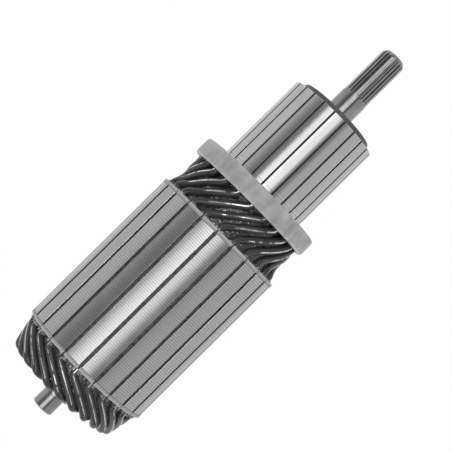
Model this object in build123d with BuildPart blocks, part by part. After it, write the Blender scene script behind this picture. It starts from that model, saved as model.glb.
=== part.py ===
from build123d import *
from math import atan2, cos, degrees, radians, sin, tan
import os

# Wound armature of a four-pole starter-type motor, lying on its side, in millimetres.
# X is the shaft's axis: the rear journal is at -X and the splined drive end at +X.
# Angles turn about +X and start straight up, so that +90 degrees points to -Y.
# The origin is on the axis, halfway along the shaft, so the front of the stack is at x = 0 as drawn.

# Winding: one hairpin of round wire for each slot, with an outer and an inner leg
slots = 23
coil_pitch_slots = 5
wire_diameter = 3.0
wire_sides = 6
wire_corner_inset = 0.04
layer_gap = 0.1
first_slot_angle = 180.0

# Lamination stack and its end insulators
stack_diameter = 57.0
stack_length = 71.0
slot_mouth = 1.25
tooth_tip = 0.6
tooth_shoulder = 0.5
end_insulator_thickness = 1.5
insulator_mouth = 0.7
insulator_bore_clearance = 0.6

# Slot liners
liner_thickness = 0.2
liner_wire_clearance = 0.05
liner_slot_clearance = 0.02
rear_cuff_length = 1.5
front_cuff_length = 0.6

# Winding overhangs
rear_straight = 1.9
rear_reach = 10.2
rear_cone_drop = 2.0
rear_lean_ease_share = 0.12
rear_bend_share = 0.1
rear_drop_share = 0.2
rear_drop_ease_share = 0.5
nose_share = 0.3
nose_rate_share = 0.6
front_shift_angle = 36.0
front_lean_start = 1.0
front_lean_ease_share = 0.15
front_dip = 1.65
front_dip_length = 6.0
front_rise = 0.25
front_rise_length = 4.0
front_dip_ease_share = 0.4

# Commutator
bar_diameter = 39.4
bar_track_length = 39.0
commutator_setback = 15.1
riser_width = 6.4
riser_wire_clearance = 0.05
wire_end_setback = 0.15
mica_thickness = 0.8
mica_undercut = 0.7
end_ring_diameter = 33.2
end_ring_length = 2.1
end_ring_chamfer = 0.35
rear_ring_length = 0.9
dovetail_height = 1.7
dovetail_reach = 3.0
dovetail_foot_height = 2.2
dovetail_foot_setback = 1.3
dovetail_play = 0.2
mica_foot_clearance = 0.1
bush_wall = 1.7
bush_inset = 0.5

# Band round the risers
band_wall = 2.25
band_width = 7.4
band_chamfer = 0.85

# Shaft
shaft_rear_reach = 23.45
shaft_front_reach = 31.35
rear_journal_diameter = 8.9
rear_journal_length = 6.6
rear_chamfer = 0.4
rear_neck_diameter = 8.2
rear_neck_width = 0.8
body_diameter = 11.8
drive_diameter = 11.1
drive_chamfer_length = 1.6
drive_chamfer_depth = 1.2
splines = 20
first_spline_angle = -5.6
spline_length = 20.7
spline_depth = 0.62
spline_mouth = 0.95
spline_root = 0.5
spline_crest_diameter = 10.7
spline_runout = 1.5
spline_tip_height = 0.1
centre_hole_diameter = 4.0
centre_floor_diameter = 1.6
centre_half_angle = 30

# Angles and places that follow from them
pitch = 360 / slots
coil_span = coil_pitch_slots * pitch
wire_radius = wire_diameter / 2
layer_step = wire_diameter + layer_gap
stack_radius = stack_diameter / 2
slot_width = wire_diameter + 2 * (liner_thickness + liner_wire_clearance)
slot_top = stack_radius - tooth_tip - tooth_shoulder
outer_layer = slot_top - liner_thickness - liner_wire_clearance - wire_radius
inner_layer = outer_layer - layer_step
slot_floor = inner_layer - wire_radius - liner_wire_clearance - liner_thickness

# Places along the axis, from half the shaft's length behind the middle
riser_setback = commutator_setback + (band_width - riser_width) / 2
commutator_reach = riser_setback + riser_width + bar_track_length + end_ring_length
shaft_length = shaft_rear_reach + stack_length + commutator_reach + shaft_front_reach
shaft_rear_x = -shaft_length / 2
shaft_front_x = shaft_length / 2
stack_rear_x = shaft_rear_x + shaft_rear_reach
stack_front_x = stack_rear_x + stack_length
band_rear_x = stack_front_x + commutator_setback
riser_rear_x = stack_front_x + riser_setback
riser_front_x = riser_rear_x + riser_width
riser_outer_layer = outer_layer - front_dip + front_rise
riser_inner_layer = riser_outer_layer - layer_step
riser_radius = riser_outer_layer + wire_radius
riser_slot_floor = riser_inner_layer - wire_radius - riser_wire_clearance
riser_slot_width = wire_diameter + 2 * riser_wire_clearance
bar_radius = bar_diameter / 2
bar_front_x = riser_front_x + bar_track_length
first_bar = first_slot_angle + front_shift_angle
end_ring_radius = end_ring_diameter / 2
dovetail_radius = end_ring_radius - dovetail_height
bar_foot_radius = dovetail_radius - dovetail_foot_height
commutator_rear_x = riser_rear_x - rear_ring_length
commutator_front_x = bar_front_x + end_ring_length
body_radius = body_diameter / 2
bush_radius = body_radius + bush_wall

rear_neck_x = shaft_rear_x + rear_journal_length
drive_radius = drive_diameter / 2
spline_crest_radius = spline_crest_diameter / 2
spline_rear_x = shaft_front_x - spline_length
spline_tip_x = spline_rear_x - spline_runout
centre_hole_depth = (centre_hole_diameter - centre_floor_diameter) / 2 / tan(radians(centre_half_angle))

# Sketches on planes across the axis measure their angles from +Y, a quarter turn before straight up
quarter = 90

pieces = []


def keep(part, name):
    """Labels a finished piece and lists it for export."""
    part.label = name
    pieces.append(part)


def eased(share, ease):
    """Runs from 0 to 1 at a steady rate that builds up and dies away over `ease` at each end."""
    share = min(max(share, 0), 1)
    rate = 1 / (1 - ease)
    if share < ease:
        return rate * share**2 / (2 * ease)
    if share > 1 - ease:
        return 1 - rate * (1 - share) ** 2 / (2 * ease)
    return rate * (share - ease / 2)


def spoke(x, radius, angle):
    """The point at a place along the axis, at a radius and at an angle from straight up."""
    return Vector(x, -radius * sin(radians(angle)), radius * cos(radians(angle)))


def slot_body(margin=0.0):
    """Corners of a slot's parallel-sided body along local X, drawn in by `margin` all round."""
    half = slot_width / 2 - margin
    low = slot_floor + margin
    high = slot_top - margin
    return (high, -half), (high, half), (low, half), (low, -half)


def slot_neck(mouth):
    """Corners of a slot's sloping shoulders and its mouth of width `mouth`, along local X."""
    half = slot_width / 2
    shoulder = slot_top + tooth_shoulder
    outside = stack_radius + tooth_tip
    return (
        (slot_top, -half),
        (shoulder, -mouth / 2),
        (outside, -mouth / 2),
        (outside, mouth / 2),
        (shoulder, mouth / 2),
        (slot_top, half),
    )


def slotted_disc(rear_x, length, bore_radius, mouth):
    """A round pack with every slot in it, from `rear_x` forward."""
    with BuildPart() as disc:
        with BuildSketch(Plane.YZ.offset(rear_x)):
            Circle(stack_radius)
            Circle(bore_radius, mode=Mode.SUBTRACT)
            with PolarLocations(0, slots, start_angle=quarter + first_slot_angle):
                Polygon(*slot_body(), align=None, mode=Mode.SUBTRACT)
                Polygon(*slot_neck(mouth), align=None, mode=Mode.SUBTRACT)
        extrude(amount=length)
    return disc.part


def front_radius(x, layer):
    """Radius of a wire's centre in front of the stack, where the winding dips before it meets the risers."""
    dip = front_dip * eased((x - stack_front_x) / front_dip_length, front_dip_ease_share)
    rise_start = stack_front_x + front_dip_length
    rise = front_rise * eased((x - rise_start) / front_rise_length, front_dip_ease_share)
    return layer - dip + rise


def front_angle(x, shift):
    """How far a wire has leaned round from its slot, at a place in front of the stack."""
    lean_length = band_rear_x - stack_front_x - front_lean_start
    return shift * eased((x - stack_front_x - front_lean_start) / lean_length, front_lean_ease_share)


def front_leg(layer, slot_angle, shift, shares):
    """Points of one leg from the end of its slot to the front of the risers, at some shares of its lean."""
    lean_start = stack_front_x + front_lean_start
    lean_length = band_rear_x - lean_start
    places = [lean_start + share * lean_length for share in shares]
    places.append(riser_front_x - wire_end_setback)
    return [spoke(x, front_radius(x, layer), slot_angle + front_angle(x, shift)) for x in places]


def rear_depth(share):
    """How deep the rear bend has gone, from 0 at either slot to 1 at its nose."""
    from_nose = abs(share - 0.5)
    if from_nose > rear_bend_share:
        depth = 1 - 2 * from_nose
    else:
        depth = 1 - rear_bend_share - from_nose**2 / rear_bend_share
    return depth / (1 - rear_bend_share)


def rear_angle(share):
    """How far round the rear bend has gone: it starts straight, leans over and slows down at its nose."""
    half = 2 * min(share, 1 - share)
    gone = half**2 / (2 * rear_lean_ease_share) if half < rear_lean_ease_share else half - rear_lean_ease_share / 2
    slow = (1 - nose_rate_share) / (2 * nose_share)
    gone -= slow * max(half - 1 + nose_share, 0) ** 2
    whole = 1 - rear_lean_ease_share / 2 - slow * nose_share**2
    angle = coil_span / 2 * gone / whole
    return angle if share < 0.5 else coil_span - angle


def rear_turn(slot_angle):
    """Points of the bend behind the stack, from the outer leg's slot to the inner leg's slot."""
    points = []
    for share in (0, 0.08, 0.26, 0.44, 0.5, 0.56, 0.74, 1):
        depth = rear_depth(share)
        layer = outer_layer - layer_step * eased((share - 0.5) / rear_drop_share + 0.5, rear_drop_ease_share)
        x = stack_rear_x - rear_straight - rear_reach * depth
        points.append(spoke(x, layer - rear_cone_drop * depth, slot_angle + rear_angle(share)))
    return points


def mitred_outlines(points):
    """Corners of the wire's outline at each point of its path, on the plane that halves the bend there."""
    steps = [(ahead - point).normalized() for point, ahead in zip(points, points[1:])]
    side = Vector(0, 1, 0)
    side = (side - steps[0] * side.dot(steps[0])).normalized()
    up = steps[0].cross(side)
    turns = [radians((number + 0.5) * 360 / wire_sides) for number in range(wire_sides)]
    reach = wire_radius - wire_corner_inset
    corners = [points[0] + side * reach * cos(turn) + up * reach * sin(turn) for turn in turns]
    outlines = []
    for number, point in enumerate(points):
        arriving = steps[max(number - 1, 0)]
        leaving = steps[min(number, len(steps) - 1)]
        across = (arriving + leaving).normalized()
        corners = [corner + arriving * ((point - corner).dot(across) / arriving.dot(across)) for corner in corners]
        outlines.append(corners)
    return outlines


def wire_faces(outlines):
    """Flat faces that close a wire between the outlines along it."""
    faces = [Face(Wire.make_polygon(outlines[0])), Face(Wire.make_polygon(outlines[-1]))]
    for near, far in zip(outlines, outlines[1:]):
        for number in range(wire_sides):
            after = (number + 1) % wire_sides
            faces.append(Face(Wire.make_polygon([near[number], near[after], far[after], far[number]])))
    return faces


# Lamination stack, between its end insulators
keep(
    slotted_disc(
        stack_rear_x + end_insulator_thickness,
        stack_length - 2 * end_insulator_thickness,
        body_radius,
        slot_mouth,
    ),
    "lamination_stack",
)

# End insulators
insulator_bore = body_radius + insulator_bore_clearance
keep(
    slotted_disc(stack_rear_x, end_insulator_thickness, insulator_bore, insulator_mouth),
    "rear_end_insulator",
)
keep(
    slotted_disc(
        stack_front_x - end_insulator_thickness, end_insulator_thickness, insulator_bore, insulator_mouth
    ),
    "front_end_insulator",
)

# Slot liners, folded channels that are open at the slot's mouth
with BuildPart() as liners:
    with BuildSketch(Plane.YZ.offset(stack_rear_x - rear_cuff_length)):
        with PolarLocations(0, slots, start_angle=quarter + first_slot_angle):
            Polygon(*slot_body(liner_slot_clearance), align=None)
            Polygon(*slot_body(liner_thickness), align=None, mode=Mode.SUBTRACT)
        with PolarLocations(slot_top, slots, start_angle=quarter + first_slot_angle):
            Rectangle(4 * liner_thickness, slot_mouth, mode=Mode.SUBTRACT)
    extrude(amount=rear_cuff_length + stack_length + front_cuff_length)
keep(liners.part, "slot_liners")

# Coils
first_hairpin = [
    *reversed(front_leg(outer_layer, 0, front_shift_angle, (0, 0.12, 0.37, 0.63, 0.88, 1))),
    *rear_turn(0),
    *front_leg(inner_layer, coil_span, front_shift_angle + pitch - coil_span, (0, 0.5, 1)),
]
with BuildPart() as hairpin:
    add(Solid(Shell(wire_faces(mitred_outlines(first_hairpin)))))
for number in range(slots):
    keep(hairpin.part.rotate(Axis.X, first_slot_angle + number * pitch), f"coil_{number + 1:02d}")

# Commutator bars, each with a riser that is slotted for two wires
with BuildPart() as bar:
    with BuildSketch(Plane.XZ):
        Polygon(
            (riser_rear_x, end_ring_radius),
            (riser_rear_x + dovetail_reach, dovetail_radius),
            (riser_rear_x + dovetail_foot_setback, bar_foot_radius),
            (bar_front_x - dovetail_foot_setback, bar_foot_radius),
            (bar_front_x - dovetail_reach, dovetail_radius),
            (bar_front_x, end_ring_radius),
            (bar_front_x, riser_radius),
            (riser_rear_x, riser_radius),
            align=None,
        )
    extrude(amount=riser_radius * tan(radians(pitch / 2)), both=True)
    with BuildSketch(Plane.XZ):
        Polygon(
            (riser_rear_x, 0),
            (riser_rear_x, riser_radius),
            (riser_front_x, riser_radius),
            (riser_front_x, bar_radius),
            (bar_front_x, bar_radius),
            (bar_front_x, 0),
            align=None,
        )
    revolve(axis=Axis.X, mode=Mode.INTERSECT)
    for side in (-1, 1):
        mica_plane = Plane.XZ.rotated((side * pitch / 2, 0, 0)).offset(-side * mica_thickness / 2)
        split(bisect_by=mica_plane, keep=Keep.BOTTOM if side > 0 else Keep.TOP)
    with BuildSketch(Plane.YZ.offset(riser_rear_x)):
        with Locations((0, riser_slot_floor)):
            Rectangle(riser_slot_width, bar_radius, align=(Align.CENTER, Align.MIN))
    extrude(amount=riser_width, mode=Mode.SUBTRACT)
for number in range(slots):
    keep(bar.part.rotate(Axis.X, first_bar + number * pitch), f"commutator_bar_{number + 1:02d}")

# Mica strips between the bars, cut back below the brush track
mica_foot = end_ring_radius + mica_foot_clearance
with BuildPart() as mica:
    for rear_x, length, top in (
        (riser_rear_x, riser_width, riser_radius - mica_undercut),
        (riser_front_x, bar_track_length, bar_radius - mica_undercut),
    ):
        with BuildSketch(Plane.YZ.offset(rear_x)):
            with PolarLocations(mica_foot, slots, start_angle=quarter + first_bar + pitch / 2):
                Rectangle(top - mica_foot, mica_thickness, align=(Align.MIN, Align.CENTER))
        extrude(amount=length)
keep(mica.part, "mica_strips")

# Commutator moulding, which grips the bars' dovetails and shows as a ring at the front
with BuildPart() as moulding:
    with BuildSketch(Plane.XZ):
        Polygon(
            (commutator_rear_x, bush_radius),
            (commutator_rear_x, end_ring_radius),
            (riser_rear_x, end_ring_radius),
            (riser_rear_x + dovetail_reach - dovetail_play, dovetail_radius),
            (riser_rear_x + dovetail_foot_setback - dovetail_play, bar_foot_radius),
            (bar_front_x - dovetail_foot_setback + dovetail_play, bar_foot_radius),
            (bar_front_x - dovetail_reach + dovetail_play, dovetail_radius),
            (bar_front_x, end_ring_radius),
            (commutator_front_x - end_ring_chamfer, end_ring_radius),
            (commutator_front_x, end_ring_radius - end_ring_chamfer),
            (commutator_front_x, bush_radius),
            align=None,
        )
    revolve(axis=Axis.X)
keep(moulding.part, "commutator_moulding")

# Commutator bush, the steel sleeve in the moulding
with BuildPart() as bush:
    with BuildSketch(Plane.YZ.offset(commutator_rear_x)):
        Circle(bush_radius)
        Circle(body_radius, mode=Mode.SUBTRACT)
    extrude(amount=commutator_front_x - bush_inset - commutator_rear_x)
keep(bush.part, "commutator_bush")

# Band round the risers and the wire ends
with BuildPart() as band:
    with BuildSketch(Plane.XZ) as wall:
        with Locations((band_rear_x, riser_radius)):
            Rectangle(band_width, band_wall, align=Align.MIN)
        chamfer(wall.vertices().group_by(Axis.Z)[-1], band_chamfer)
    revolve(axis=Axis.X)
keep(band.part, "riser_band")

# Shaft, with its seats, splines and centre holes
with BuildPart() as shaft:
    with BuildSketch(Plane.XZ):
        Polygon(
            (shaft_rear_x + centre_hole_depth, 0),
            (shaft_rear_x + centre_hole_depth, centre_floor_diameter / 2),
            (shaft_rear_x, centre_hole_diameter / 2),
            (shaft_rear_x, rear_journal_diameter / 2 - rear_chamfer),
            (shaft_rear_x + rear_chamfer, rear_journal_diameter / 2),
            (rear_neck_x, rear_journal_diameter / 2),
            (rear_neck_x, rear_neck_diameter / 2),
            (rear_neck_x + rear_neck_width, rear_neck_diameter / 2),
            (rear_neck_x + rear_neck_width, body_radius),
            (commutator_front_x, body_radius),
            (commutator_front_x, drive_radius),
            (spline_tip_x, drive_radius),
            (spline_tip_x, spline_crest_radius),
            (shaft_front_x - drive_chamfer_length, spline_crest_radius),
            (shaft_front_x, spline_crest_radius - drive_chamfer_depth),
            (shaft_front_x, centre_hole_diameter / 2),
            (shaft_front_x - centre_hole_depth, centre_floor_diameter / 2),
            (shaft_front_x - centre_hole_depth, 0),
            align=None,
        )
    revolve(axis=Axis.X)
    with BuildSketch(Plane.YZ.offset(spline_rear_x)) as grooves:
        with PolarLocations(spline_crest_radius, splines, start_angle=quarter + first_spline_angle):
            Polygon(
                (-spline_depth, -spline_root / 2),
                (-spline_depth, spline_root / 2),
                (spline_depth, spline_mouth - spline_root / 2),
                (spline_depth, spline_root / 2 - spline_mouth),
                align=None,
            )
    extrude(amount=spline_length, mode=Mode.SUBTRACT)
    for groove in grooves.sketch.faces():
        middle = groove.center()
        angle = degrees(atan2(-middle.Y, middle.Z))
        tip = spoke(spline_tip_x, spline_crest_radius + spline_tip_height, angle)
        loft([groove, Vertex(tip.X, tip.Y, tip.Z)], ruled=True, mode=Mode.SUBTRACT)
keep(shaft.part, "shaft")

os.makedirs("parts", exist_ok=True)
for piece in pieces:
    export_step(piece, f"parts/{piece.label}.step")
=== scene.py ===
import random
from math import cos, pi, radians, sin

import bmesh
import bpy
from mathutils import Matrix, Vector


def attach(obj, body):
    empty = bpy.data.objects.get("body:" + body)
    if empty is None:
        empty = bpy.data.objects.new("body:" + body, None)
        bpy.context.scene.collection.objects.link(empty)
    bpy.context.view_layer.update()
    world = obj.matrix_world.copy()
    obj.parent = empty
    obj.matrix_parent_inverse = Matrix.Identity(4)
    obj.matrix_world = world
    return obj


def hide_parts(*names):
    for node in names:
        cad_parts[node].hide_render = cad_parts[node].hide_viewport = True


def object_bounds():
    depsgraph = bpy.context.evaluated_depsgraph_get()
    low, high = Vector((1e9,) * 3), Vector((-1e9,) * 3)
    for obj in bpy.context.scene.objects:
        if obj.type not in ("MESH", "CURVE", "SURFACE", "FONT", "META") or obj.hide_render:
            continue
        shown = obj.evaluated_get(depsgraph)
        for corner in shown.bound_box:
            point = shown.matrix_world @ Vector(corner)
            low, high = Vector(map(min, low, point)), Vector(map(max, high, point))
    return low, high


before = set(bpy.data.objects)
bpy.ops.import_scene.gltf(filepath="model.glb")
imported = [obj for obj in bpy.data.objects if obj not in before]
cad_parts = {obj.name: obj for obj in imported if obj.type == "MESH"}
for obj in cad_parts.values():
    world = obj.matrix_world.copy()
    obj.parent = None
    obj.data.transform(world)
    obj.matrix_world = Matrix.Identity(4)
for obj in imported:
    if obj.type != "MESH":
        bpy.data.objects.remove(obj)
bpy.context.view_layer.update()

# Sizes from the CAD source, in metres. X is the shaft's axis, and angles turn about +X from straight up.
SLOTS = 23
PITCH = 2 * pi / SLOTS
SLOTS_SPANNED = 5
COIL_SPAN = SLOTS_SPANNED * PITCH
FIRST_SLOT = pi
STACK_RADIUS = 0.0285
STACK_REAR = -0.071
STACK_FRONT = 0.0
STACK_MIDDLE = (STACK_REAR + STACK_FRONT) / 2
INSULATOR = 0.0015
SLOT_HALF_WIDTH = 0.00175
SLOT_TOP = 0.0274
SLOT_SHOULDER = 0.0279
SLOT_MOUTH = 0.00125
SLOT_FLOOR = 0.02075
WIRE_RADIUS = 0.0015
OUTER_LAYER = 0.02565
LAYER_STEP = 0.0031
BAND_REAR = 0.0151
BAND_FRONT = 0.0225
BAND_RADIUS = 0.028
BAND_BORE = 0.02575
BAND_ROUNDING = 0.0012
WIRE_END = 0.02185
RISER_REAR = 0.0156
RISER_FRONT = 0.022
RISER_FLOOR = 0.0196
RISER_SLOT_HALF_WIDTH = 0.00155
BAR_REAR = 0.0218
BAR_FRONT = 0.061
BAR_RADIUS = 0.0197
BAR_FOOT = 0.0166
MICA = 0.0008

# Sheets of the stack, between its end insulators
SHEETS = 72
SHEETS_REAR = STACK_REAR + INSULATOR
SHEETS_FRONT = STACK_FRONT - INSULATOR
SHEET = (SHEETS_FRONT - SHEETS_REAR) / SHEETS

# Winding overhangs, as in the CAD source
FRONT_SHIFT = radians(36)
FRONT_LEAN_START = 0.001
FRONT_LEAN_EASE = 0.15
FRONT_DIP = 0.00165
FRONT_DIP_LENGTH = 0.006
FRONT_RISE = 0.00025
FRONT_RISE_LENGTH = 0.004
DIP_EASE = 0.4
REAR_STRAIGHT = 0.0019
REAR_REACH = 0.0102
REAR_CONE_DROP = 0.002
REAR_LEAN_EASE = 0.12
REAR_BEND = 0.1
REAR_DROP = 0.2
REAR_DROP_EASE = 0.5
NOSE_SHARE = 0.3
NOSE_RATE = 0.6

# The photograph's frame: its axis line, its scale and where the camera stands
IMAGE_SIZE = 452
PIXEL = 0.00038
FOCAL_PIXELS = 1350
AXIS_LEAN = radians(44.65)
VIEW_LEAN = radians(6.53)
AIM_X = 0.0034
AIM_ACROSS = 0.00025
CAMERA_OFFSET_X = -0.010
SENSOR = 36.0
CLIP_START = 0.01


def spoke(x, radius, angle, across=0.0):
    """A point at a radius and an angle about the axis, and a distance round from there."""
    return Vector((x, -radius * sin(angle) - across * cos(angle), radius * cos(angle) - across * sin(angle)))


# Materials: small helpers first, then one function for each material

def new_material(name, colour, roughness, metallic=0.0):
    """A material with a plain shader, and the nodes to add to it."""
    made = bpy.data.materials.new(name)
    made.use_nodes = True
    shader = made.node_tree.nodes["Principled BSDF"]
    shader.inputs["Base Color"].default_value = (colour, colour, colour, 1)
    shader.inputs["Roughness"].default_value = roughness
    shader.inputs["Metallic"].default_value = metallic
    return made, made.node_tree, shader


def node(tree, kind, **settings):
    """A new node with its settings and its inputs' values."""
    made = tree.nodes.new(kind)
    for name, value in settings.items():
        if name in made.inputs:
            made.inputs[name].default_value = value
        else:
            setattr(made, name, value)
    return made


def reckon(tree, operation, *values):
    """The result of an operation on sockets and plain numbers."""
    made = node(tree, "ShaderNodeMath", operation=operation)
    for socket, value in zip(made.inputs, values):
        if isinstance(value, bpy.types.NodeSocket):
            tree.links.new(value, socket)
        else:
            socket.default_value = value
    return made.outputs["Value"]


def place_node(tree, stretch=(1, 1, 1)):
    """Object coordinates scaled along each axis."""
    place = node(tree, "ShaderNodeTexCoord")
    mapping = node(tree, "ShaderNodeMapping", Scale=stretch)
    tree.links.new(place.outputs["Object"], mapping.inputs["Vector"])
    return mapping.outputs["Vector"]


def along_shaft(tree):
    """The place along the shaft."""
    parts = node(tree, "ShaderNodeSeparateXYZ")
    tree.links.new(place_node(tree), parts.inputs["Vector"])
    return parts.outputs["X"]


def noise_node(tree, place, scale, detail=4.0, rough=0.55):
    """Noise over some coordinates."""
    noise = node(tree, "ShaderNodeTexNoise", Scale=scale, Detail=detail, Roughness=rough)
    tree.links.new(place, noise.inputs["Vector"])
    return noise.outputs["Fac"]


def ramp_node(tree, source, stops):
    """A ramp of greys over a value."""
    ramp = node(tree, "ShaderNodeValToRGB")
    elements = ramp.color_ramp.elements
    while len(elements) < len(stops):
        elements.new(0.5)
    for element, (place, grey) in zip(elements, stops):
        element.position = place
        element.color = (grey, grey, grey, 1)
    tree.links.new(source, ramp.inputs["Fac"])
    return ramp.outputs["Color"]


def range_node(tree, source, low, high, start=0.0, end=1.0):
    """A value from `low` to `high` as another goes from `start` to `end`."""
    spread = node(tree, "ShaderNodeMapRange")
    for name, value in (("From Min", start), ("From Max", end), ("To Min", low), ("To Max", high)):
        spread.inputs[name].default_value = value
    tree.links.new(source, spread.inputs["Value"])
    return spread.outputs["Result"]


def add_bump(tree, shader, height, strength, distance):
    """Bump from a height, after any that the shader has."""
    bump = node(tree, "ShaderNodeBump", Strength=strength, Distance=distance)
    tree.links.new(height, bump.inputs["Height"])
    before = shader.inputs["Normal"].links
    if before:
        tree.links.new(before[0].from_socket, bump.inputs["Normal"])
    tree.links.new(bump.outputs["Normal"], shader.inputs["Normal"])


def dress(name, made):
    """Gives a CAD node its material."""
    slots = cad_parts[name].data.materials
    slots.clear()
    slots.append(made)


def turned_steel():
    """Bright turned steel with fine rings round it and faint stains."""
    made, tree, shader = new_material("turned_steel", 0.26, 0.17, metallic=1.0)
    rings = noise_node(tree, place_node(tree, (1, 0.002, 0.002)), 9000)
    stains = noise_node(tree, place_node(tree), 180)
    tree.links.new(ramp_node(tree, stains, ((0.3, 0.22), (0.7, 0.3))), shader.inputs["Base Color"])
    tree.links.new(range_node(tree, stains, 0.12, 0.22), shader.inputs["Roughness"])
    add_bump(tree, shader, rings, 0.25, 0.00002)
    return made


# Where a groove starts, as a share of a sheet from its middle, and how dark its painted shade gets
GROOVE_START = 0.3
GROOVE_SHADE = 0.6


def groove_shade(tree):
    """1 on the sheets' edges, and less in the grooves between them, where it paints shade."""
    from_rear = reckon(tree, "SUBTRACT", along_shaft(tree), SHEETS_REAR)
    share = reckon(tree, "FRACT", reckon(tree, "DIVIDE", from_rear, SHEET))
    from_middle = reckon(tree, "ABSOLUTE", reckon(tree, "SUBTRACT", share, 0.5))
    return range_node(tree, from_middle, 1.0, GROOVE_SHADE, GROOVE_START, 0.5)


def lamination_steel():
    """Ground sheet edges, bright and a little uneven from sheet to sheet, with painted shade in the grooves
    between.
    """
    made, tree, shader = new_material("lamination_steel", 0.38, 0.3, metallic=1.0)
    sheets = noise_node(tree, place_node(tree, (1, 0.01, 0.01)), 900, detail=3.0, rough=0.7)
    stains = noise_node(tree, place_node(tree), 90)
    uneven = range_node(tree, sheets, 0.94, 1.06)
    ground = reckon(tree, "MULTIPLY", uneven, range_node(tree, stains, 0.35, 0.43))
    # Painted shade: the tone is darker in the grooves between sheets.
    tone = reckon(tree, "MULTIPLY", ground, groove_shade(tree))
    tree.links.new(tone, shader.inputs["Base Color"])
    tree.links.new(range_node(tree, stains, 0.19, 0.29), shader.inputs["Roughness"])
    grain = noise_node(tree, place_node(tree, (1, 6, 6)), 2500)
    add_bump(tree, shader, grain, 0.2, 0.00002)
    return made


def end_board():
    """Pressed grey insulating board, with painted shade where it meets the sheets and lighter towards its
    outer face.
    """
    made, tree, shader = new_material("end_board", 0.36, 0.6)
    from_middle = reckon(tree, "ABSOLUTE", reckon(tree, "SUBTRACT", along_shaft(tree), STACK_MIDDLE))
    outward = range_node(tree, from_middle, 0, 1, SHEETS_FRONT - STACK_MIDDLE, STACK_FRONT - STACK_MIDDLE)
    # Painted shade: darkest at the join with the sheets, lighter towards the outer face.
    join_shade_tones = ramp_node(tree, outward, ((0.0, 0.1), (0.14, 0.26), (0.6, 0.36), (0.95, 0.46)))
    fibres = noise_node(tree, place_node(tree), 1400)
    tone = reckon(tree, "MULTIPLY", join_shade_tones, range_node(tree, fibres, 0.8, 1.2))
    tree.links.new(tone, shader.inputs["Base Color"])
    add_bump(tree, shader, fibres, 0.4, 0.00005)
    return made


def liner_paper():
    """Pale slot paper, stained with varnish."""
    made, tree, shader = new_material("liner_paper", 0.35, 0.45)
    stains = noise_node(tree, place_node(tree), 700)
    tree.links.new(ramp_node(tree, stains, ((0.4, 0.08), (0.65, 0.42))), shader.inputs["Base Color"])
    add_bump(tree, shader, stains, 0.5, 0.00008)
    return made


def slot_varnish():
    """Varnished paper over the wires in the slots, in darker and lighter patches."""
    made, tree, shader = new_material("slot_varnish", 0.08, 0.6)
    patches = noise_node(tree, place_node(tree), 520)
    tree.links.new(ramp_node(tree, patches, ((0.38, 0.03), (0.62, 0.09))), shader.inputs["Base Color"])
    add_bump(tree, shader, patches, 0.6, 0.0001)
    return made


# How squarely a point of a wire faces out from the shaft where its painted highlight starts and where it is
# full
CREST_START = 0.982
CREST_FULL = 0.998


def highlight_crest_mask(tree):
    """1 along the line of a wire that faces straight out from the shaft, where the painted highlight goes,
    and 0 off it.
    """
    place = node(tree, "ShaderNodeTexCoord")
    outward = node(tree, "ShaderNodeVectorMath", operation="MULTIPLY")
    tree.links.new(place.outputs["Object"], outward.inputs[0])
    outward.inputs[1].default_value = (0, 1, 1)
    unit = node(tree, "ShaderNodeVectorMath", operation="NORMALIZE")
    tree.links.new(outward.outputs["Vector"], unit.inputs[0])
    facing = node(tree, "ShaderNodeVectorMath", operation="DOT_PRODUCT")
    tree.links.new(unit.outputs["Vector"], facing.inputs[0])
    tree.links.new(place.outputs["Normal"], facing.inputs[1])
    return range_node(tree, facing.outputs["Value"], 0, 1, CREST_START, CREST_FULL)


def varnished_wire():
    """Dark varnish over round wire, with a painted highlight along its crest in broken streaks, more of them
    behind the stack, where the base is also a little lighter.
    """
    made, tree, shader = new_material("varnished_wire", 0.03, 0.2)
    own = node(tree, "ShaderNodeVectorMath", operation="ADD")
    tree.links.new(place_node(tree), own.inputs[0])
    tree.links.new(node(tree, "ShaderNodeObjectInfo").outputs["Random"], own.inputs[1])
    uneven = noise_node(tree, own.outputs["Vector"], 260)
    fine = noise_node(tree, place_node(tree), 1500)
    behind = range_node(tree, along_shaft(tree), 1, 0, STACK_REAR - INSULATOR, STACK_REAR)
    highlight_breaks = reckon(tree, "MULTIPLY_ADD", behind, 0.04, uneven)
    # Painted highlight: the crest turns bright and metallic in broken streaks.
    painted_crest_highlight = reckon(tree, "MULTIPLY", highlight_crest_mask(tree), range_node(tree, highlight_breaks, 0, 1, 0.42, 0.54))
    tone = reckon(tree, "MULTIPLY_ADD", behind, 0.012, range_node(tree, painted_crest_highlight, 0.034, 0.75))
    tree.links.new(tone, shader.inputs["Base Color"])
    tree.links.new(painted_crest_highlight, shader.inputs["Metallic"])
    tree.links.new(range_node(tree, uneven, 0.12, 0.3), shader.inputs["Roughness"])
    shader.inputs["Specular IOR Level"].default_value = 0.4
    add_bump(tree, shader, uneven, 0.2, 0.0003)
    add_bump(tree, shader, fine, 0.15, 0.00005)
    return made


def varnish_and_painted_shade():
    """Thick dark varnish between the wires, its near-black partly painted shade, with a few painted glints.
    """
    made, tree, shader = new_material("varnish_and_painted_shade", 0.02, 0.16)
    lumps = noise_node(tree, place_node(tree), 650, detail=3.0)
    glint_spots = noise_node(tree, place_node(tree), 1100, detail=1.0)
    # Painted glints: a few small spots turn bright and metallic.
    painted_glints = range_node(tree, glint_spots, 0, 1, 0.64, 0.7)
    tree.links.new(range_node(tree, painted_glints, 0.018, 0.5), shader.inputs["Base Color"])
    tree.links.new(painted_glints, shader.inputs["Metallic"])
    shader.inputs["Specular IOR Level"].default_value = 0.7
    add_bump(tree, shader, lumps, 0.8, 0.0005)
    return made


# The small step where the brush track starts, and how far its tones, with a painted highlight line, reach
# past it
STEP_REAR = 0.0243
STEP_FRONT = 0.02445
STEP_MARGIN = 0.001


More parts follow.
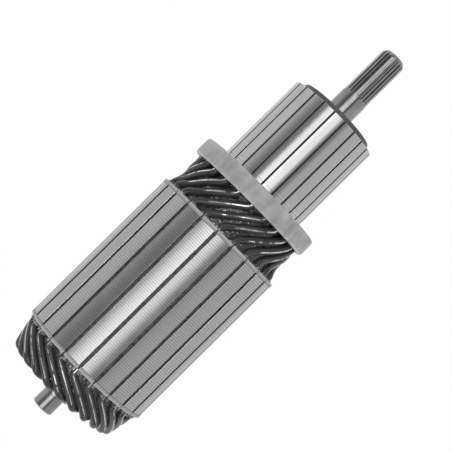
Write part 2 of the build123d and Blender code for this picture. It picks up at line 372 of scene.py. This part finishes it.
def commutator_copper():
    """Turned copper: fine rings, faint tarnish and a painted highlight line where the brush track starts."""
    made, tree, shader = new_material("commutator_copper", 0.46, 0.25, metallic=1.0)
    zones = range_node(tree, along_shaft(tree), 0, 1, STEP_REAR - STEP_MARGIN, STEP_FRONT + STEP_MARGIN)
    # Painted highlight: a bright line of copper over the step.
    step_highlight_tones = ramp_node(tree, zones, ((0.0, 0.45), (0.44, 0.42), (0.5, 0.65), (0.62, 0.65), (0.7, 0.43)))
    tarnish = noise_node(tree, place_node(tree, (0.6, 1, 1)), 120)
    tone = reckon(tree, "MULTIPLY", step_highlight_tones, range_node(tree, tarnish, 0.88, 1.12))
    tree.links.new(tone, shader.inputs["Base Color"])
    tree.links.new(range_node(tree, tarnish, 0.12, 0.2), shader.inputs["Roughness"])
    rings = noise_node(tree, place_node(tree, (1, 0.004, 0.004)), 6000)
    add_bump(tree, shader, rings, 0.3, 0.00002)
    return made


def band_resin():
    """Pale grey moulded band, smooth, with faint streaks across it, a painted highlight along its rounded
    rear edge and a slightly lighter front edge.
    """
    made, tree, shader = new_material("band_resin", 0.38, 0.42)
    across = range_node(tree, along_shaft(tree), 0, 1, BAND_REAR, BAND_FRONT)
    # Painted highlight along the rounded rear edge; the front edge a little lighter.
    edge_highlight_tones = ramp_node(tree, across, ((0.0, 0.5), (0.07, 0.47), (0.13, 0.33), (0.8, 0.35), (1.0, 0.39)))
    streaks = noise_node(tree, place_node(tree, (0.25, 1, 1)), 300, detail=5.0)
    mottle = noise_node(tree, place_node(tree), 140, detail=5.0)
    streaked = range_node(tree, streaks, 0.84, 1.12, start=0.35, end=0.6)
    mottled = range_node(tree, mottle, 0.84, 1.14, start=0.35, end=0.65)
    tone = reckon(tree, "MULTIPLY", edge_highlight_tones, reckon(tree, "MULTIPLY", streaked, mottled))
    tree.links.new(tone, shader.inputs["Base Color"])
    fine = noise_node(tree, place_node(tree), 2200)
    add_bump(tree, shader, mottle, 0.15, 0.0003)
    add_bump(tree, shader, fine, 0.1, 0.00003)
    return made


def plain_stuff(name, grey, roughness, scale):
    """A plain moulded or pressed material with a slight grain."""
    made, tree, shader = new_material(name, grey, roughness)
    grain = noise_node(tree, place_node(tree), scale)
    tone = ramp_node(tree, grain, ((0.3, grey * 0.8), (0.7, grey * 1.2)))
    tree.links.new(tone, shader.inputs["Base Color"])
    add_bump(tree, shader, grain, 0.25, 0.00005)
    return made


# Meshes

def skin(rings, loop=False):
    """Faces between closed outlines of equal length, with end faces unless the last meets the first."""
    width = len(rings[0])
    vertices = [point for ring in rings for point in ring]
    faces = []
    for number in range(len(rings) if loop else len(rings) - 1):
        low, high = number * width, (number + 1) % len(rings) * width
        for corner in range(width):
            after = (corner + 1) % width
            faces.append((low + corner, low + after, high + after, high + corner))
    if not loop:
        faces += [tuple(reversed(range(width))), tuple(range(len(vertices) - width, len(vertices)))]
    return vertices, faces


def joined(skins):
    """Several skins as one."""
    vertices = []
    faces = []
    for more_vertices, more_faces in skins:
        start = len(vertices)
        vertices += more_vertices
        faces += [tuple(start + corner for corner in face) for face in more_faces]
    return vertices, faces


def new_mesh(name, made_skin, made, sharp_angle):
    """A mesh with a material, smooth up to an angle."""
    vertices, faces = made_skin
    mesh = bpy.data.meshes.new(name)
    mesh.from_pydata(vertices, [], faces)
    whole = bmesh.new()
    whole.from_mesh(mesh)
    bmesh.ops.recalc_face_normals(whole, faces=whole.faces)
    whole.to_mesh(mesh)
    whole.free()
    mesh.polygons.foreach_set("use_smooth", [True] * len(mesh.polygons))
    mesh.set_sharp_from_angle(angle=radians(sharp_angle))
    mesh.materials.append(made)
    return mesh


def turned_mesh(name, mesh, angle):
    """A copy of a mesh, turned about the shaft."""
    copy = mesh.copy()
    copy.name = name
    copy.transform(Matrix.Rotation(angle, 4, "X"))
    return copy


def place_piece(name, mesh):
    """An object for a mesh, riding on the part."""
    piece = bpy.data.objects.new(name, mesh)
    bpy.context.scene.collection.objects.link(piece)
    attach(piece, "root")
    return piece


def new_piece(name, made_skin, made, sharp_angle):
    """A mesh object with a material, riding on the part."""
    return place_piece(name, new_mesh(name, made_skin, made, sharp_angle))


def eased(share, ease):
    """Runs from 0 to 1 at a steady rate that builds up and dies away over `ease` at each end."""
    share = min(max(share, 0), 1)
    rate = 1 / (1 - ease)
    if share < ease:
        return rate * share**2 / (2 * ease)
    if share > 1 - ease:
        return 1 - rate * (1 - share) ** 2 / (2 * ease)
    return rate * (share - ease / 2)


def front_radius(x, layer):
    """Radius of a wire's centre in front of the stack."""
    dip = FRONT_DIP * eased((x - STACK_FRONT) / FRONT_DIP_LENGTH, DIP_EASE)
    rise = FRONT_RISE * eased((x - STACK_FRONT - FRONT_DIP_LENGTH) / FRONT_RISE_LENGTH, DIP_EASE)
    return layer - dip + rise


def front_point(x, layer, slot_angle, shift):
    """A wire's centre in front of the stack."""
    start = STACK_FRONT + FRONT_LEAN_START
    lean = eased((x - start) / (BAND_REAR - start), FRONT_LEAN_EASE)
    return spoke(x, front_radius(x, layer), slot_angle + shift * lean)


def rear_point(share, slot_angle):
    """A wire's centre in the bend behind the stack, from the outer leg at 0 to the inner leg at 1."""
    from_nose = abs(share - 0.5)
    if from_nose > REAR_BEND:
        depth = 1 - 2 * from_nose
    else:
        depth = 1 - REAR_BEND - from_nose**2 / REAR_BEND
    depth /= 1 - REAR_BEND
    half = 2 * min(share, 1 - share)
    if half < REAR_LEAN_EASE:
        gone = half**2 / (2 * REAR_LEAN_EASE)
    else:
        gone = half - REAR_LEAN_EASE / 2
    slow = (1 - NOSE_RATE) / (2 * NOSE_SHARE)
    gone -= slow * max(half - 1 + NOSE_SHARE, 0) ** 2
    angle = COIL_SPAN / 2 * gone / (1 - REAR_LEAN_EASE / 2 - slow * NOSE_SHARE**2)
    if share > 0.5:
        angle = COIL_SPAN - angle
    layer = OUTER_LAYER - LAYER_STEP * eased((share - 0.5) / REAR_DROP + 0.5, REAR_DROP_EASE)
    x = STACK_REAR - REAR_STRAIGHT - REAR_REACH * depth
    return spoke(x, layer - REAR_CONE_DROP * depth, slot_angle + angle)


# Wires' meshes
WIRE_STEPS = 48
WIRE_SIDES = 16
WIRE_SHARP_ANGLE = 50


def coil_path(steps):
    """The line of a hairpin, from its outer front end round the rear bend to its inner front end."""
    inner_shift = FRONT_SHIFT + PITCH - COIL_SPAN
    places = [WIRE_END + (STACK_FRONT - WIRE_END) * number / steps for number in range(steps + 1)]
    points = [front_point(x, OUTER_LAYER, 0, FRONT_SHIFT) for x in places]
    points += [rear_point(number / (2 * steps), 0) for number in range(2 * steps + 1)]
    points += [front_point(x, OUTER_LAYER - LAYER_STEP, COIL_SPAN, inner_shift) for x in reversed(places)]
    return points


def tube(points, radius, sides):
    """A round tube along a line, with closed ends."""
    flat = Vector((0, 1, 0))
    rings = []
    for number, point in enumerate(points):
        along = (points[min(number + 1, len(points) - 1)] - points[max(number - 1, 0)]).normalized()
        flat = (flat - along * flat.dot(along)).normalized()
        side = along.cross(flat)
        turns = [2 * pi * corner / sides for corner in range(sides)]
        rings.append([point + flat * radius * cos(turn) + side * radius * sin(turn) for turn in turns])
    return skin(rings)


def build_coils(made):
    """One round wire for each CAD hairpin."""
    mesh = new_mesh("wire", tube(coil_path(WIRE_STEPS), WIRE_RADIUS, WIRE_SIDES), made, WIRE_SHARP_ANGLE)
    for number in range(SLOTS):
        coil = f"coil_{number + 1:02d}"
        name = "wire_" + coil
        wire = place_piece(name, turned_mesh(name, mesh, FIRST_SLOT + number * PITCH))
        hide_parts(coil)


# Sheets' edges and the teeth's corners
SHEET_EDGE = 0.00018
SHEET_GROOVE = 0.00003
SHEET_JITTER = 0.00002
TOOTH_STEPS = 4
TOOTH_CORNER = 0.00014
LEAST_CORNER = 0.6
STACK_SHARP_ANGLE = 25
STACK_SEED = 7


def slot_outline(radius, corner, angle):
    """One slot and the tooth after it, as corners of the stack's outline."""
    mouth = SLOT_MOUTH / 2
    edge = (mouth + corner) / radius
    outline = [
        spoke(0, radius - corner, angle, -mouth),
        spoke(0, SLOT_SHOULDER, angle, -mouth),
        spoke(0, SLOT_TOP, angle, -SLOT_HALF_WIDTH),
        spoke(0, SLOT_FLOOR, angle, -SLOT_HALF_WIDTH),
        spoke(0, SLOT_FLOOR, angle, SLOT_HALF_WIDTH),
        spoke(0, SLOT_TOP, angle, SLOT_HALF_WIDTH),
        spoke(0, SLOT_SHOULDER, angle, mouth),
        spoke(0, radius - corner, angle, mouth),
    ]
    for step in range(TOOTH_STEPS + 1):
        outline.append(spoke(0, radius, angle + edge + (PITCH - 2 * edge) * step / TOOTH_STEPS))
    return outline


def stack_outline(x, radius, corner):
    """The outline of all the teeth and slots at one place."""
    outline = []
    for slot in range(SLOTS):
        outline += slot_outline(radius, corner, FIRST_SLOT + slot * PITCH)
    return [point + Vector((x, 0, 0)) for point in outline]


def build_stack(made):
    """The stack with a groove between every two sheets, and teeth with slightly uneven corners."""
    chance = random.Random(STACK_SEED)
    rings = []
    for number in range(SHEETS):
        place = SHEETS_REAR + number * SHEET
        radius = STACK_RADIUS - SHEET_JITTER * chance.random()
        corner = TOOTH_CORNER * (LEAST_CORNER + chance.random())
        rings.append(stack_outline(place, STACK_RADIUS - SHEET_GROOVE, corner))
        rings.append(stack_outline(place + SHEET_EDGE, radius, corner))
        rings.append(stack_outline(place + SHEET - SHEET_EDGE, radius, corner))
    rings.append(stack_outline(SHEETS_FRONT, STACK_RADIUS - SHEET_GROOVE, TOOTH_CORNER))
    stack = new_piece("sheet_stack", skin(rings), made, STACK_SHARP_ANGLE)
    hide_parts("lamination_stack")


# Varnished paper that closes the slots under their mouths
CLOSURE_FLOOR = 0.02741
CLOSURE_TOP = 0.0277
CLOSURE_HALF_WIDTH = 0.00085
CLOSURE_STEPS = 40
CLOSURE_UNEVEN = 0.00004
CLOSURE_SHARP_ANGLE = 60
CLOSURE_SEED = 3


def build_closures(made):
    """A slightly crowned, uneven strip in every slot's mouth."""
    chance = random.Random(CLOSURE_SEED)
    strips = []
    for slot in range(SLOTS):
        angle = FIRST_SLOT + slot * PITCH
        rings = []
        for step in range(CLOSURE_STEPS + 1):
            x = STACK_REAR + (STACK_FRONT - STACK_REAR) * step / CLOSURE_STEPS
            top = CLOSURE_TOP - CLOSURE_UNEVEN * chance.random()
            shoulder = (top + CLOSURE_FLOOR) / 2
            rings.append([
                spoke(x, CLOSURE_FLOOR, angle, -CLOSURE_HALF_WIDTH),
                spoke(x, shoulder, angle, -CLOSURE_HALF_WIDTH),
                spoke(x, top, angle),
                spoke(x, shoulder, angle, CLOSURE_HALF_WIDTH),
                spoke(x, CLOSURE_FLOOR, angle, CLOSURE_HALF_WIDTH),
            ])
        strips.append(skin(rings))
    closures = new_piece("slot_closures", joined(strips), made, CLOSURE_SHARP_ANGLE)


# Forms turned round the axis
TURNED_SHARP_ANGLE = 30


def turned(name, profile, steps, made):
    """A closed profile of (x, radius) turned round the axis."""
    turns = [2 * pi * step / steps for step in range(steps)]
    rings = [[spoke(x, radius, turn) for x, radius in profile] for turn in turns]
    return new_piece(name, skin(rings, loop=True), made, TURNED_SHARP_ANGLE)


# The band's mesh
BAND_ARC_STEPS = 8
BAND_STEPS = 184


def build_band(made):
    """The band round the risers, with rounded outer corners."""
    profile = [(BAND_FRONT, BAND_BORE), (BAND_REAR, BAND_BORE)]
    reach = BAND_RADIUS - BAND_ROUNDING
    for centre, first in ((BAND_REAR + BAND_ROUNDING, pi), (BAND_FRONT - BAND_ROUNDING, pi / 2)):
        for step in range(BAND_ARC_STEPS + 1):
            turn = first - pi / 2 * step / BAND_ARC_STEPS
            profile.append((centre + BAND_ROUNDING * cos(turn), reach + BAND_ROUNDING * sin(turn)))
    band = turned("rounded_band", profile, BAND_STEPS, made)
    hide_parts("riser_band")


# Varnish between the wires, partly painted shade, and near-black sleeves under them that paint the shade
# inside the windings
VARNISH_SINK = 0.0004
VARNISH_DEPTH = 0.001
VARNISH_LENGTH_STEPS = 24
VARNISH_STEPS = 138
FRONT_SINK_START = 0.0105
FRONT_SINK_LENGTH = 0.004
FRONT_SINK = 0.0009
REAR_VARNISH_DEPTH = 0.85
SLEEVE_WALL = 0.0006
SLEEVE_STEPS = 92
FRONT_SLEEVE_RADIUS = 0.0194
REAR_SLEEVE_RADIUS = 0.0186
REAR_SLEEVE_LENGTH = 0.0085


def shell(line, wall):
    """A closed profile of a line and the same line one wall further in."""
    return line + [(x, radius - wall) for x, radius in reversed(line)]


def build_varnish(made, shade_sleeve):
    """Varnish that fills the gaps between the outer wires, partly as painted shade, and near-black sleeves
    of painted shade inside the windings.
    """
    front = []
    for step in range(VARNISH_LENGTH_STEPS + 1):
        x = STACK_FRONT + (RISER_REAR - STACK_FRONT) * step / VARNISH_LENGTH_STEPS
        sink = VARNISH_SINK + FRONT_SINK * eased((x - FRONT_SINK_START) / FRONT_SINK_LENGTH, DIP_EASE)
        front.append((x, front_radius(x, OUTER_LAYER) - sink))
    turned("front_varnish", shell(front, VARNISH_DEPTH), VARNISH_STEPS, made)
    top = OUTER_LAYER - VARNISH_SINK
    rear_end = STACK_REAR - REAR_STRAIGHT - REAR_REACH * REAR_VARNISH_DEPTH
    rear = [
        (STACK_REAR, top),
        (STACK_REAR - REAR_STRAIGHT, top),
        (rear_end, top - REAR_CONE_DROP * REAR_VARNISH_DEPTH),
    ]
    turned("rear_varnish", shell(rear, VARNISH_DEPTH), VARNISH_STEPS, made)
    # Painted shade: near-black sleeves inside the windings, where there is only shade.
    front = [(STACK_FRONT, FRONT_SLEEVE_RADIUS), (RISER_REAR, FRONT_SLEEVE_RADIUS)]
    turned("front_sleeve", shell(front, SLEEVE_WALL), SLEEVE_STEPS, shade_sleeve)
    rear = [(STACK_REAR, REAR_SLEEVE_RADIUS), (STACK_REAR - REAR_SLEEVE_LENGTH, REAR_SLEEVE_RADIUS)]
    turned("rear_sleeve", shell(rear, SLEEVE_WALL), SLEEVE_STEPS, shade_sleeve)


# Commutator bars: places along a bar with their radius
STRIP_RADIUS = 0.01962
FRONT_EDGE = 0.00015
FRONT_EDGE_DEPTH = 0.00012
TRACK = (
    (BAR_REAR, STRIP_RADIUS),
    (STEP_REAR, STRIP_RADIUS),
    (STEP_FRONT, BAR_RADIUS),
    (BAR_FRONT - FRONT_EDGE, BAR_RADIUS),
    (BAR_FRONT, BAR_RADIUS - FRONT_EDGE_DEPTH),
)
BAR_STEPS = 8
BAR_CORNER = 0.00003
BAR_SHARP_ANGLE = 20
RISER_ARC_STEPS = 3


def bar_outline(x, radius):
    """A bar's outline at one place, an arc between its two lower corners."""
    half = PITCH / 2 - MICA / 2 / radius
    corner = BAR_CORNER / radius
    outline = [spoke(x, BAR_FOOT, -PITCH / 2, MICA / 2), spoke(x, radius - BAR_CORNER, -half)]
    for step in range(BAR_STEPS + 1):
        outline.append(spoke(x, radius, (half - corner) * (2 * step / BAR_STEPS - 1)))
    return outline + [spoke(x, radius - BAR_CORNER, half), spoke(x, BAR_FOOT, PITCH / 2, -MICA / 2)]


def riser_outline(x):
    """A riser's outline, open at the top where its wires lie."""
    half = PITCH / 2 - MICA / 2 / BAND_BORE
    edge = RISER_SLOT_HALF_WIDTH / BAND_BORE
    arc = [half + (edge - half) * step / RISER_ARC_STEPS for step in range(RISER_ARC_STEPS + 1)]
    return [
        spoke(x, BAR_FOOT, -PITCH / 2, MICA / 2),
        *[spoke(x, BAND_BORE, -angle) for angle in arc],
        spoke(x, RISER_FLOOR, 0, -RISER_SLOT_HALF_WIDTH),
        spoke(x, RISER_FLOOR, 0, RISER_SLOT_HALF_WIDTH),
        *[spoke(x, BAND_BORE, angle) for angle in reversed(arc)],
        spoke(x, BAR_FOOT, PITCH / 2, -MICA / 2),
    ]


def build_bars(made):
    """One bar and riser for each of the commutator's CAD bars."""
    track = skin([bar_outline(x, radius) for x, radius in TRACK])
    riser = skin([riser_outline(RISER_REAR), riser_outline(RISER_FRONT)])
    mesh = new_mesh("bar", joined([track, riser]), made, BAR_SHARP_ANGLE)
    for number in range(SLOTS):
        cad_bar = f"commutator_bar_{number + 1:02d}"
        name = "turned_" + cad_bar
        bar = place_piece(name, turned_mesh(name, mesh, FIRST_SLOT + FRONT_SHIFT + number * PITCH))
        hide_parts(cad_bar)


# Camera, light and floor

def set_camera():
    """The camera where the photograph's stood."""
    across = Vector((0, -cos(VIEW_LEAN), sin(VIEW_LEAN)))
    towards = Vector((0, sin(VIEW_LEAN), cos(VIEW_LEAN)))
    axis = Vector((1, 0, 0))
    target = axis * AIM_X + across * AIM_ACROSS
    place = target + towards * PIXEL * FOCAL_PIXELS + axis * CAMERA_OFFSET_X
    back = (place - target).normalized()
    right = axis * cos(AXIS_LEAN) + across * sin(AXIS_LEAN)
    right = (right - back * right.dot(back)).normalized()
    up = back.cross(right)
    data = bpy.data.cameras.new("camera")
    data.sensor_fit = "HORIZONTAL"
    data.sensor_width = SENSOR
    data.lens = SENSOR * FOCAL_PIXELS / IMAGE_SIZE
    data.clip_start = CLIP_START
    camera = bpy.data.objects.new("camera", data)
    bpy.context.scene.collection.objects.link(camera)
    camera.matrix_world = Matrix.Translation(place) @ Matrix((right, up, back)).transposed().to_4x4()
    bpy.context.scene.camera = camera


# Room: how bright it is at each angle round the shaft from straight up, towards +Y, in degrees
ROOM = (
    (-180, 1.2), (-129, 1.15), (-110, 0.8), (-93, 0.64), (-30, 0.57), (-24, 0.3), (-20, 0.16), (-10, 0.2),
    (-6, 1.3), (10, 1.3), (12, 2.2), (16, 2.2), (18, 1.3), (31, 1.3), (34, 0.23), (54, 0.23), (62, 0.34),
    (70, 0.5), (86, 0.7), (95, 0.84), (104, 1.0), (127, 1.2), (180, 1.2),
)
ROOM_LEVEL = 1.5
ROOM_ENDS = 0.6


def set_world():
    """White behind everything, and for light a room along the shaft that is darker towards its ends."""
    world = bpy.data.worlds.new("room")
    bpy.context.scene.world = world
    world.use_nodes = True
    tree = world.node_tree
    tree.nodes.clear()
    place = node(tree, "ShaderNodeTexCoord")
    parts = node(tree, "ShaderNodeSeparateXYZ")
    tree.links.new(place.outputs["Generated"], parts.inputs["Vector"])
    angle = reckon(tree, "ARCTAN2", parts.outputs["Y"], parts.outputs["Z"])
    brightest = max(level for _, level in ROOM)
    stops = [(degrees / 360 + 0.5, level / brightest) for degrees, level in ROOM]
    walls = ramp_node(tree, reckon(tree, "MULTIPLY_ADD", angle, 0.5 / pi, 0.5), stops)
    strength = ROOM_LEVEL * brightest
    along = range_node(tree, reckon(tree, "ABSOLUTE", parts.outputs["X"]), strength, strength * ROOM_ENDS)
    light = node(tree, "ShaderNodeBackground")
    tree.links.new(walls, light.inputs["Color"])
    tree.links.new(along, light.inputs["Strength"])
    white = node(tree, "ShaderNodeBackground", Strength=1.0)
    white.inputs["Color"].default_value = (1, 1, 1, 1)
    path = node(tree, "ShaderNodeLightPath")
    mix = node(tree, "ShaderNodeMixShader")
    seen = reckon(tree, "MAXIMUM", path.outputs["Is Camera Ray"], path.outputs["Is Transmission Ray"])
    tree.links.new(seen, mix.inputs["Fac"])
    tree.links.new(light.outputs["Background"], mix.inputs[1])
    tree.links.new(white.outputs["Background"], mix.inputs[2])
    output = node(tree, "ShaderNodeOutputWorld")
    tree.links.new(mix.outputs["Shader"], output.inputs["Surface"])


# Floor: its side, and how much of its own shading is seen
FLOOR_SIZE = 3.0
SHADOW_SHARE = 0.035


def build_floor():
    """A white floor under the part, which also shows in its metal and keeps a faint shadow."""
    half = FLOOR_SIZE / 2
    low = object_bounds()[0][2]
    corners = [(-half, -half, low), (half, -half, low), (half, half, low), (-half, half, low)]
    mesh = bpy.data.meshes.new("floor")
    mesh.from_pydata(corners, [], [(0, 1, 2, 3)])
    floor = bpy.data.objects.new("floor", mesh)
    bpy.context.scene.collection.objects.link(floor)
    made, tree, shader = new_material("floor", 0.95, 0.9)
    glow = node(tree, "ShaderNodeEmission", Strength=1.0)
    path = node(tree, "ShaderNodeLightPath")
    seen = reckon(tree, "MAXIMUM", path.outputs["Is Camera Ray"], path.outputs["Is Glossy Ray"])
    seen = reckon(tree, "MAXIMUM", seen, path.outputs["Is Transmission Ray"])
    mix = node(tree, "ShaderNodeMixShader")
    tree.links.new(reckon(tree, "MULTIPLY", seen, 1 - SHADOW_SHARE), mix.inputs["Fac"])
    tree.links.new(shader.outputs["BSDF"], mix.inputs[1])
    tree.links.new(glow.outputs["Emission"], mix.inputs[2])
    tree.links.new(mix.outputs["Shader"], tree.nodes["Material Output"].inputs["Surface"])
    mesh.materials.append(made)


steel = turned_steel()
dress("shaft", steel)
dress("commutator_bush", steel)
board = end_board()
dress("rear_end_insulator", board)
dress("front_end_insulator", board)
dress("slot_liners", liner_paper())
dress("mica_strips", plain_stuff("mica", grey=0.035, roughness=0.8, scale=1200))
dress("commutator_moulding", plain_stuff("dark_moulding", grey=0.08, roughness=0.5, scale=900))
build_coils(varnished_wire())
build_stack(lamination_steel())
build_closures(slot_varnish())
build_band(band_resin())
# The sleeves' near-black material is painted shade inside the windings.
build_varnish(varnish_and_painted_shade(), plain_stuff("painted_shade_sleeve", grey=0.03, roughness=0.6, scale=900))
build_bars(commutator_copper())

set_camera()
set_world()
build_floor()
bpy.context.scene.view_settings.view_transform = "Standard"
